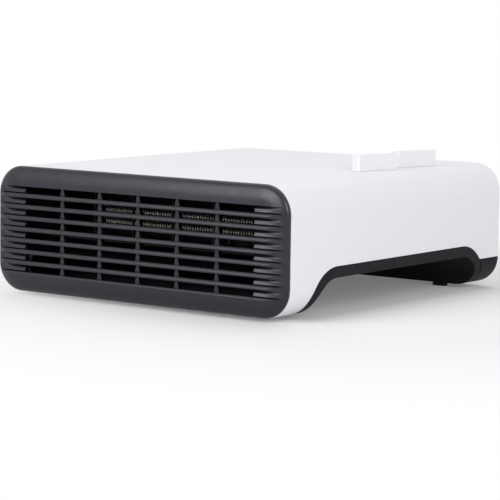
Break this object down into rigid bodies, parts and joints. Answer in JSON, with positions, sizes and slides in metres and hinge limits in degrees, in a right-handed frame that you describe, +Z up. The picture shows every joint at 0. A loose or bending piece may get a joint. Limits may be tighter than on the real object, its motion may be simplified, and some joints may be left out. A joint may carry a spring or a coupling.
{
  "type": "fan heater",
  "caption": "Low flat fan heater: white sleeve casing on a dark arched base, convex slatted grey front, bar knobs on top, flat fan and coiled wire element inside.",
  "frame": {"origin": "on the floor under the feet, below the centre of the heater's box", "axes": "+Z up, -Y towards the slatted front, +X towards the side that carries the knobs"},
  "size_m": [0.3, 0.3258, 0.1226],
  "materials": {
    "casing_white": "satin moulded plastic",
    "knob_white": "satin moulded plastic",
    "grille_grey": "satin moulded plastic",
    "base_grey": "fine grained moulded plastic",
    "inlet_black": "matte",
    "foot_rubber": "matte",
    "screw_steel": "zinc plated",
    "control_body": "matte",
    "spindle_steel": "turned",
    "fan_plastic": "heat resistant, matte",
    "motor_bracket": "zinc plated",
    "motor_core": "laminated",
    "bearing_bronze": "sintered",
    "bobbin_nylon": "matte",
    "copper_wire": "enamelled",
    "duct_sheet": "dark heat-proof coat",
    "mica": "pressed mica board",
    "terminal_brass": "plain",
    "resistance_wire": "drawn alloy wire",
    "cutout_case": "matte",
    "block_plastic": "matte",
    "lead_sleeve": "silicone insulation"
  },
  "bodies": {
    "housing": {"top_casing": "casing_white", "front_grille": "grille_grey", "base_tray": "base_grey", "rear_panel": "base_grey", "intake_guard": "base_grey", "cord_inlet_bush": "inlet_black", "cord_inlet_nut": "inlet_black", "rubber_feet": "foot_rubber", "motor_grommets": "foot_rubber", "casing_screws": "screw_steel", "housing_screws": "screw_steel", "control_screws": "screw_steel", "motor_screws": "screw_steel", "motor_spacers": "screw_steel", "thermostat_body": "control_body", "selector_body": "control_body", "fan_housing": "fan_plastic", "motor_lower_bracket": "motor_bracket", "motor_upper_bracket": "motor_bracket", "motor_stator": "motor_core", "motor_bearings": "bearing_bronze", "motor_bobbin": "bobbin_nylon", "motor_winding": "copper_wire", "heater_duct": "duct_sheet", "rail_brackets": "duct_sheet", "mica_end_boards": "mica", "mica_support_boards": "mica", "mica_rails": "mica", "coil_terminals": "terminal_brass", "heating_coils": "resistance_wire", "thermal_cutout": "cutout_case", "thermal_fuse": "cutout_case", "terminal_block": "block_plastic", "lead_wires": "lead_sleeve"},
    "thermostat_dial": {"thermostat_knob": "knob_white", "thermostat_spindle": "spindle_steel"},
    "selector_dial": {"selector_knob": "knob_white", "selector_spindle": "spindle_steel"},
    "fan_rotor": {"impeller": "fan_plastic", "impeller_clip": "spindle_steel", "motor_shaft": "spindle_steel", "motor_rotor": "motor_core"}
  },
  "joints": [
    {"name": "thermostat_turn", "type": "hinge", "parent": "housing", "child": "thermostat_dial", "pos_m": [0.1103, 0.0224, 0.11], "axis": [0, 0, -1], "range_deg": [0, 270]},
    {"name": "selector_turn", "type": "hinge", "parent": "housing", "child": "selector_dial", "pos_m": [0.1103, 0.0829, 0.11], "axis": [0, 0, -1], "range_deg": [0, 135]},
    {"name": "fan_spin", "type": "hinge", "parent": "housing", "child": "fan_rotor", "pos_m": [-0.022, 0.0099, 0.05], "axis": [0, 0, 1], "continuous": true}
  ]
}
